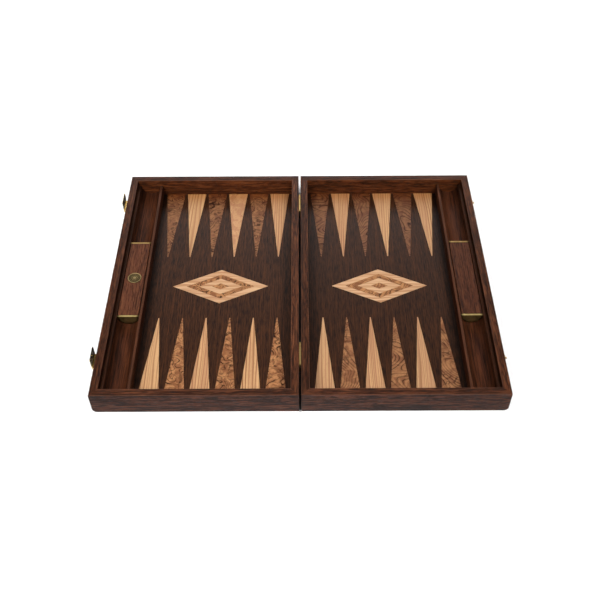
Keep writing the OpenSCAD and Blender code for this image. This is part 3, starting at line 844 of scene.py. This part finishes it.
low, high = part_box("left_badge")
badge_r, badge_t = (high.x - low.x) / 2, high.z - low.z
badge_foot = Vector(((low.x + high.x) / 2, (low.y + high.y) / 2, low.z))
dish = badge_t - BADGE_DISH
badge_profile = [
    (0, 0), (badge_r, 0), (badge_r, badge_t - 0.0005), (badge_r - 0.00015, badge_t - 0.00015),
    (badge_r - 0.0005, badge_t), (badge_r - 0.0013, badge_t), (badge_r - 0.0017, badge_t - 0.00015),
    (badge_r - 0.002, dish), (0.0052, dish), (0.0049, dish + 0.0002), (0.0043, dish + 0.0002),
    (0.004, dish), (0.0034, dish), (0.0028, dish + 0.00015), (0.0015, dish + 0.0003), (0, dish + 0.00035),
]


def antique_brass():
    """Brass with dark wax left in its hollows, wiped bright on the raised parts."""
    material, shader, place = new_finish("antique_badge_brass", metallic=1.0)
    cloud = noise(place, 4, 0.65, scale=700)
    above_dish = coordinate(place, "Z") + cloud * 0.0002
    raised = above_dish.step(badge_foot.z + dish, badge_foot.z + badge_t)
    colour = blend(raised, BADGE_DARK, BADGE_BRIGHT)
    feed(shader, base_color=colour, roughness=0.55 - raised * 0.15 + cloud * 0.1, normal=bump(cloud, 0.00005))
    return material


def moved(shape, by):
    """A shape moved by a vector."""
    return shape.node("GeometryNodeTransform", {}, {"Geometry": shape, "Translation": by})


def bead_ring_tree():
    """A ring of small beads, half sunk in the face of the badge."""
    tree, size, keys = new_tree(
        "bead_ring", Middle_X=float, Middle_Y=float, Face=float, Ring_Radius=float, Bead_Radius=float,
        Count=int, Finish=bpy.types.Material,
    )
    start = size["Face"]
    ring = start.node("GeometryNodeMeshCircle", {}, {
        "Vertices": size["Count"], "Radius": size["Ring_Radius"]})
    bead = start.node("GeometryNodeMeshUVSphere", {}, {
        "Segments": BEAD_SEGMENTS, "Rings": BEAD_RINGS, "Radius": size["Bead_Radius"]}, "Mesh")
    middle = vector(start, size["Middle_X"], size["Middle_Y"], size["Face"])
    end_tree(tree, moved(copies(ring, bead), middle), size["Finish"])
    return tree, keys


badge_finish = antique_brass()
badge = turned("left_badge_disc", badge_profile, badge_foot, (0, 0, 1), BADGE_STEPS)
bead_ring, bead_keys = bead_ring_tree()
beads = grown("left_badge_beads", bead_ring, bead_keys, Middle_X=badge_foot.x, Middle_Y=badge_foot.y,
              Face=badge_foot.z + dish - BEAD_R * 0.3, Ring_Radius=BEAD_RING_R, Bead_Radius=BEAD_R,
              Count=BEAD_COUNT, Finish=badge_finish)
beads.shade_smooth()
piece(badge, badge_finish, "left_cover", "fitting_brass", "left_badge")
piece(beads, None, "left_cover", "fitting_brass", "left_badge")


# Hinges. Two brass butt hinges join the halves in the seam, their knuckles level with the rim.
# Satin brass, tarnished on the leaves, with pins driven flush. Screws hold the leaves to the hinge rails.
BRASS_BRIGHT = (226, 194, 128)
BRASS_DULL = (172, 137, 78)
LEAF_TARNISH = (150, 112, 62)
LEAF_TOP, LEAF_FADE = 0.0386, 0.0004


def brass(name, roughness, mark_depth, bright=BRASS_BRIGHT, dull=BRASS_DULL, toned=None):
    """Satin or polished brass: slightly uneven tone, faint tarnish and fine polishing marks. The last value
    is a function that tones some of its faces."""
    material, shader, place = new_finish(name, metallic=1.0)
    cloud = noise(place, 4, 0.6, 0.2, scale=90)
    marks = noise(place, 3, 0.6, scale=1600)
    colour = blend(cloud.step(0.35, 0.75) * 0.6 + marks * 0.2, bright, dull)
    if toned:
        colour = toned(place, colour)
    feed(shader, base_color=colour, roughness=roughness + cloud * 0.08 + marks * 0.05,
         normal=bump(marks, mark_depth))
    return material


def leaf_tarnish(place, colour):
    """Spots and a duller tone on the leaves, which lie in the seam; the knuckles stay bright."""
    spots = noise(place, 4, 0.65, 0.4, scale=160).step(0.38, 0.66)
    on_leaf = 1 - coordinate(place, "Z").step(LEAF_TOP - LEAF_FADE, LEAF_TOP)
    return blend(on_leaf * (0.35 + spots * 0.5), colour, LEAF_TARNISH)


fitting_brass = brass("satin_fitting_brass", roughness=0.36, mark_depth=0.00002, toned=leaf_tarnish)
for end in ("rear", "front"):
    for part in ("left_leaf", "right_leaf", "pin"):
        dress(f"{end}_hinge_{part}", fitting_brass)


# Latches. Brass tongues stand on barrels at the left outer rail and snap over the studs of the other half.
# Stamped from sheet and polished bright outside. The inner faces of the tongues are painted dark, as painted
# shade and reflection.
LATCH_BRIGHT = (234, 210, 152)
LATCH_DULL = (198, 166, 106)
TONGUE_INNER_SHADE = (60, 53, 41)
TONGUE_INNER_FROM, TONGUE_INNER_FADE = 0.0345, 0.001
TONGUE_FACE = (0.0002, 0.0004)  # from the polished face, where the painted dark begins


def tongue_painted_shade(place, colour):
    """The inner face and the edges of a tongue are painted dark above its barrel, as painted shade and
    reflection.
    """
    x, z = (coordinate(place, axis) for axis in "XZ")
    behind_face = (x - tongue_face).step(*TONGUE_FACE)
    painted_dark = behind_face * z.step(TONGUE_INNER_FROM, TONGUE_INNER_FROM + TONGUE_INNER_FADE)
    # Painted shade and reflection on the inner face.
    return blend(painted_dark, colour, TONGUE_INNER_SHADE)


tongue_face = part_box("rear_latch_tongue")[0].x
latch_brass = brass("bright_latch_brass", roughness=0.03, mark_depth=0.000001, bright=LATCH_BRIGHT,
                    dull=LATCH_DULL)
tongue_brass = brass("tongue_brass", roughness=0.1, mark_depth=0.000001, bright=LATCH_BRIGHT,
                     dull=LATCH_DULL, toned=tongue_painted_shade)
for end in ("rear", "front"):
    dress(f"{end}_latch_base", latch_brass)
    dress(f"{end}_latch_pin", latch_brass)
    dress(f"{end}_latch_tongue", tongue_brass)


# Catch studs. Turned brass studs in the right outer rail, each with a flange, a neck and a round head.
# A plain shank holds them in the wood. The profile gives radius and reach in millimetres.
STUD_STEPS = 40
STUD_PROFILE = [(0, -8), (0.9, -8), (0.9, 0), (4.3, 0), (4.5, 0.15), (4.5, 0.5), (4.25, 0.72), (3.9, 0.8),
                (1.7, 0.8), (1.4, 0.95), (1.3, 1.2), (1.3, 1.6), (1.5, 1.85), (1.7, 2.1), (1.8, 2.4),
                (1.8, 2.7), (1.7, 3.0), (1.45, 3.25), (1.05, 3.42), (0.55, 3.49), (0, 3.5)]

for end in ("rear", "front"):
    node = f"{end}_catch_stud"
    low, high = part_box(node)
    profile = [(radius / 1000, reach / 1000) for radius, reach in STUD_PROFILE]
    foot = (high.x - profile[-1][1], (low.y + high.y) / 2, (low.z + high.z) / 2)
    stud = turned(f"{end}_turned_stud", profile, foot, (1, 0, 0), STUD_STEPS)
    piece(stud, fitting_brass, "right_half", "fitting_brass", node)


# Screws. Small slotted brass screws, countersunk flush, hold the hinge leaves and the latch bases.
# Each is left at whatever turn it came tight.
SCREW_R, SCREW_SINK, SHANK_R, SCREW_L = 0.0017, 0.0007, 0.0009, 0.008
HEAD_STEPS, SHANK_STEPS, TURN_SEED = 24, 16, 7
LEAF_PITCH, LATCH_PITCH = 0.014, 0.015


def screw_rows_tree():
    """Two rows of slotted countersunk screws along Y, one at each fitting, driven along X."""
    tree, size, keys = new_tree(
        "screw_rows", Face_X=float, Turn=float, Row_Y=float, Z=float, Pitch=float, Count=int,
        Head_Radius=float, Sink=float, Shank_Radius=float, Length=float, Finish=bpy.types.Material,
    )
    start = size["Pitch"]
    head = start.node("GeometryNodeMeshCone", {}, {
        "Vertices": HEAD_STEPS, "Radius Top": size["Shank_Radius"], "Radius Bottom": size["Head_Radius"],
        "Depth": size["Sink"]}, "Mesh")
    slot_size = vector(start, size["Head_Radius"] * 3, size["Head_Radius"] * 0.3, size["Sink"])
    slot = start.node("GeometryNodeMeshCube", {}, {"Size": slot_size}, "Mesh")
    slot = moved(slot, vector(start, z=size["Sink"] * -0.05))
    cut_head = start.node("GeometryNodeMeshBoolean", {"operation": "DIFFERENCE"}, {
        "Mesh 1": head, "Mesh 2": slot}, "Mesh")
    shank = start.node("GeometryNodeMeshCylinder", {}, {
        "Vertices": SHANK_STEPS, "Radius": size["Shank_Radius"],
        "Depth": size["Length"] - size["Sink"]}, "Mesh")
    shank = moved(shank, vector(start, z=(size["Length"] + size["Sink"]) * 0.5))
    screw = start.node("GeometryNodeJoinGeometry", {}, {0: cut_head})
    tree.links.new(shank.socket, screw.socket.node.inputs[0])
    first = vector(start, size["Face_X"], size["Pitch"] * (1 - size["Count"]) * 0.5, size["Z"])
    row = set_out(size["Count"], first, vector(start, y=size["Pitch"]))
    fittings = set_out(2, vector(start, y=size["Row_Y"] * -1), vector(start, y=size["Row_Y"] * 2))
    places = start.node("GeometryNodeRealizeInstances", {}, {"Geometry": copies(fittings, row)})
    driven = copies(places, screw, Rotation=vector(start, y=size["Turn"]))
    came_tight = start.node("FunctionNodeRandomValue", {"data_type": "FLOAT"}, {
        "Max_001": math.pi, "Seed": TURN_SEED}, "Value_001")
    turned_home = start.node("GeometryNodeRotateInstances", {}, {
        "Instances": driven, "Rotation": vector(start, z=came_tight), "Local Space": True})
    end_tree(tree, turned_home, size["Finish"])
    return tree, keys


screw_brass = brass("worn_screw_brass", roughness=0.34, mark_depth=0.00003)
screw_rows, screw_keys = screw_rows_tree()
for node, body, inward, pitch, count in (
    ("left_hinge_screws", "left_half", -1, LEAF_PITCH, 3),
    ("right_hinge_screws", "right_half", 1, LEAF_PITCH, 3),
    ("latch_screws", "left_half", 1, LATCH_PITCH, 2),
):
    low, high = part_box(node)
    screws = grown(
        node.replace("screws", "slotted_screws"), screw_rows, screw_keys,
        Face_X=low.x if inward > 0 else high.x, Turn=inward * math.pi / 2,
        Row_Y=high.y - SCREW_R - pitch * (count - 1) / 2, Z=(low.z + high.z) / 2, Pitch=pitch, Count=count,
        Head_Radius=SCREW_R, Sink=SCREW_SINK, Shank_Radius=SHANK_R, Length=SCREW_L, Finish=screw_brass,
    )
    piece(screws, None, body, "screw_brass", node)


# Floor and light. A wide white table under two large softboxes with deep grids, one for each half, which
# lean out over its side and forwards, the left one stronger. A plain panel stands behind, the table glows
# from below further out, and the white room adds a little light.
FLOOR_HALF = 30.0
SHEET_SHADE, SHEET_WHITE, SHEET_GAP_SHADE = (244, 244, 244), (248, 248, 248), (140, 140, 140)
GLOW_START, GLOW_FULL = 0.55, 1.2
NO_GLOW, GLOW_NEAR, GLOW_FAR = (0, 0, 0), (80, 80, 80), (250, 250, 250)
SEAM_HALF = 0.003
LEFT_SHARE = 1.06
ROOM_LIGHT = 0.15


def floor_sheet():
    """White translucent sheet, very slightly uneven, lit faintly from below, and more further out. Under the
    seam it has no glow, and in the narrow gap it is greyer, a painted shade."""
    material, shader, place = new_finish("white_table_sheet", emission_strength=1.0)
    cloud = noise(place, 3, scale=5)
    reach = place.node("ShaderNodeVectorMath", {"operation": "LENGTH"}, {0: place}, "Value")
    x, y = (abs(coordinate(place, axis)) for axis in "XY")
    in_seam = (1 - x.step(SEAM_HALF, SEAM_HALF * 5)) * (1 - y.step(case_end - SEAM_HALF, case_end))
    in_gap = (1 - x.step(SEAM_HALF * 0.5, SEAM_HALF * 0.7)) * (1 - y.step(case_end, case_end + 0.002))
    # The narrow gap under the seam is greyer: painted shade.
    sheet = blend(in_gap, blend(cloud, SHEET_SHADE, SHEET_WHITE), SHEET_GAP_SHADE)
    glow = blend(reach.step(GLOW_START, GLOW_FULL), GLOW_NEAR, GLOW_FAR)
    feed(shader, base_color=sheet, roughness=0.7 + cloud * 0.1, emission_color=blend(in_seam, glow, NO_GLOW))
    return material


case_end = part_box("left_hinge_rail")[1].y
floor_mesh = bpy.data.meshes.new("floor")
corners = [(x * FLOOR_HALF, y * FLOOR_HALF, 0) for x, y in ((-1, -1), (1, -1), (1, 1), (-1, 1))]
floor_mesh.from_pydata(corners, [], [(0, 1, 2, 3)])
floor_mesh.materials.append(floor_sheet())
floor = bpy.data.objects.new("floor", floor_mesh)
bpy.context.scene.collection.objects.link(floor)


def softbox(name, aim, lean, reach, size, power, spread):
    """A rectangular soft light, this far from the point it faces, leaning from upright by X and Y slopes."""
    back = Vector((*lean, 1)).normalized()
    upward = (Vector((0, 1, 0)) - back * back.y).normalized()
    turn = Matrix((upward.cross(back), upward, back)).transposed()
    lamp = bpy.data.lights.new(name, "AREA")
    lamp.shape = "RECTANGLE"
    lamp.size, lamp.size_y = size
    lamp.energy = power
    lamp.spread = math.radians(spread)
    made = bpy.data.objects.new(name, lamp)
    made.matrix_world = Matrix.Translation(Vector(aim) + back * reach) @ turn.to_4x4()
    bpy.context.scene.collection.objects.link(made)


for half, side in HALVES.items():
    share = LEFT_SHARE if side < 0 else 2 - LEFT_SHARE
    softbox(f"{half}_gridded_box", aim=(side * 0.5, 0.25, 0), lean=(side * 0.42, -0.5), reach=1.7,
            size=(1.2, 2.2), power=8.5 * share, spread=33)
softbox("rear_panel", aim=(0, 0, 0), lean=(0, 1.7), reach=2.4, size=(2.4, 0.8), power=19, spread=180)

world = bpy.data.worlds.new("studio")
world.use_nodes = True
sky = world.node_tree.nodes["Background"]
sky.inputs["Color"].default_value = (1, 1, 1, 1)
straight_on = Wire(world.node_tree.nodes.new("ShaderNodeLightPath").outputs["Is Camera Ray"])
feed(sky, strength=straight_on * (1 - ROOM_LIGHT) + ROOM_LIGHT)
bpy.context.scene.world = world
bpy.context.scene.view_settings.view_transform = "Standard"
